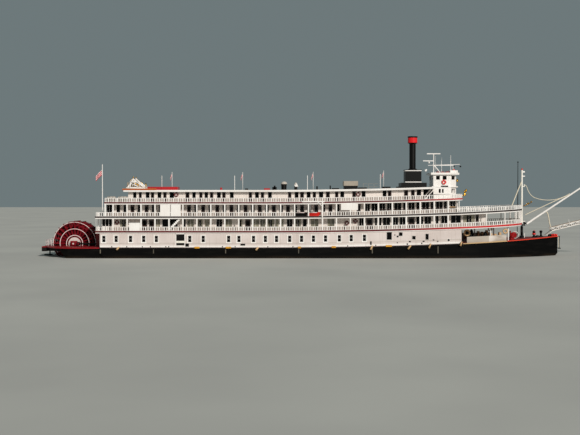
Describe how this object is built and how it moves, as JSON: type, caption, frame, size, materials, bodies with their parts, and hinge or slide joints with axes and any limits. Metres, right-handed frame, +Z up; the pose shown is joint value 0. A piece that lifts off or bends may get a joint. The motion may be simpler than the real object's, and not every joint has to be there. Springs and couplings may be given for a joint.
{
  "type": "sternwheel paddle steamer, 1:10 scale model",
  "caption": "Stern-wheel passenger river steamer with tiered galleries, pilothouse, funnel, paddle wheel, rudders, bow boom and landing stage, at 1:10 scale.",
  "frame": {"origin": "on the flat bottom of the hull, on the centreline near midships", "axes": "+X towards the bow, +Y to port, +Z up; the flat bottom is z = 0 and the waterline is z = 0.210"},
  "size_m": [9.9639, 1.782, 2.2321],
  "materials": {
    "white_paint": "semi-gloss white paint on steel and wood",
    "hull_black": "black hull paint",
    "deck_red": "matt red deck paint",
    "wheel_red": "red paint on wet timber and steel",
    "orange_red": "orange-red gloss paint",
    "steel_black": "black paint on steel",
    "varnish": "varnished wood",
    "glass": "clear window glass",
    "flag_cloth": "woven bunting",
    "rope_fibre": "laid rope",
    "engine_grey": "grey machinery paint"
  },
  "bodies": {
    "root": {"hull": "hull_black", "main_deck": "deck_red", "fantail": "deck_red", "main_house_starboard_wall": "white_paint", "main_house_port_wall": "white_paint", "main_house_aft_wall": "white_paint", "main_house_forward_wall": "white_paint", "cabin_deck": "white_paint", "cabin_house_starboard_wall": "white_paint", "cabin_house_port_wall": "white_paint", "cabin_house_aft_wall": "white_paint", "cabin_house_forward_wall": "white_paint", "cabin_rail_starboard": "white_paint", "cabin_rail_port": "white_paint", "texas_deck": "white_paint", "texas_house_starboard_wall": "white_paint", "texas_house_port_wall": "white_paint", "texas_house_aft_wall": "white_paint", "texas_house_forward_wall": "white_paint", "texas_rail_starboard_aft": "white_paint", "texas_rail_starboard_forward": "white_paint", "texas_rail_port": "white_paint", "sun_deck": "white_paint", "sun_house_starboard_wall": "white_paint", "sun_house_port_wall": "white_paint", "sun_house_aft_wall": "white_paint", "sun_house_forward_wall": "white_paint", "sun_rail_starboard": "white_paint", "sun_rail_port": "white_paint", "roof": "white_paint", "pilothouse_lower_room": "white_paint", "pilothouse_walls": "white_paint", "pilothouse_roof": "white_paint", "pilothouse_glass": "glass", "funnel_casing": "steel_black", "funnel": "steel_black", "calliope": "white_paint", "stern_flag": "flag_cloth", "kingpost": "white_paint", "jackstaff": "steel_black", "capstans": "orange_red", "hose_reel": "orange_red", "bower_anchor": "steel_black", "workboat": "steel_black", "rescue_boat": "orange_red", "boiler_block": "engine_grey", "engine_block_starboard": "engine_grey", "engine_block_port": "engine_grey"},
    "paddle_wheel": {"paddle_wheel": "wheel_red"},
    "pitman_starboard": {"pitman_starboard": "wheel_red"},
    "pitman_port": {"pitman_port": "wheel_red"},
    "main_rudder_starboard": {"main_rudder_starboard": "steel_black"},
    "main_rudder_port": {"main_rudder_port": "steel_black"},
    "monkey_rudder": {"monkey_rudder": "steel_black"},
    "gooseneck": {"boom_gooseneck": "steel_black", "slack_line": "rope_fibre"},
    "boom": {"boom": "white_paint"},
    "landing_stage": {"landing_stage": "white_paint"},
    "freight_door": {"freight_door": "varnish"},
    "pilothouse_door": {"pilothouse_door": "varnish"}
  },
  "joints": [
    {"name": "wheel_turn", "type": "hinge", "parent": "root", "child": "paddle_wheel", "pos_m": [-3.618, 0, 0.423], "axis": [0, 1, 0], "continuous": true},
    {"name": "crank_pin_starboard", "type": "hinge", "parent": "paddle_wheel", "child": "pitman_starboard", "pos_m": [-3.528, -0.372, 0.423], "axis": [0, 1, 0], "continuous": true},
    {"name": "crank_pin_port", "type": "hinge", "parent": "paddle_wheel", "child": "pitman_port", "pos_m": [-3.528, 0.372, 0.423], "axis": [0, 1, 0], "continuous": true},
    {"name": "main_steering", "type": "hinge", "parent": "root", "child": "main_rudder_starboard", "pos_m": [-3.17, -0.18, 0.3], "axis": [0, 0, 1], "range_deg": [-40, 40]},
    {"name": "main_steering_port", "type": "hinge", "parent": "root", "child": "main_rudder_port", "pos_m": [-3.17, 0.18, 0.3], "axis": [0, 0, 1], "range_deg": [-40, 40]},
    {"name": "monkey_steering", "type": "hinge", "parent": "root", "child": "monkey_rudder", "pos_m": [-4.092, 0, 0.3], "axis": [0, 0, 1], "range_deg": [-40, 40]},
    {"name": "boom_swing", "type": "hinge", "parent": "root", "child": "gooseneck", "pos_m": [3.989, 0, 0.754], "axis": [0, 0, 1], "range_deg": [-60, 60]},
    {"name": "boom_luff", "type": "hinge", "parent": "gooseneck", "child": "boom", "pos_m": [4.043, 0, 0.754], "axis": [0, -1, 0], "range_deg": [0, 15]},
    {"name": "stage_tilt", "type": "hinge", "parent": "boom", "child": "landing_stage", "pos_m": [5.13463, 0, 1.44503], "axis": [0, 1, 0], "range_deg": [0, 8]},
    {"name": "freight_door_hinge", "type": "hinge", "parent": "root", "child": "freight_door", "pos_m": [-1.839, -0.872, 0.5], "axis": [0, 0, -1], "range_deg": [0, 110]},
    {"name": "pilothouse_door_hinge", "type": "hinge", "parent": "root", "child": "pilothouse_door", "pos_m": [2.406, -0.1086, 1.5], "axis": [0, 0, 1], "range_deg": [0, 100]}
  ],
  "couplings": [
    {"joint": "crank_pin_starboard", "follows": "wheel_turn", "ratio": -1},
    {"joint": "crank_pin_port", "follows": "wheel_turn", "ratio": -1},
    {"joint": "main_steering_port", "follows": "main_steering", "ratio": 1}
  ]
}
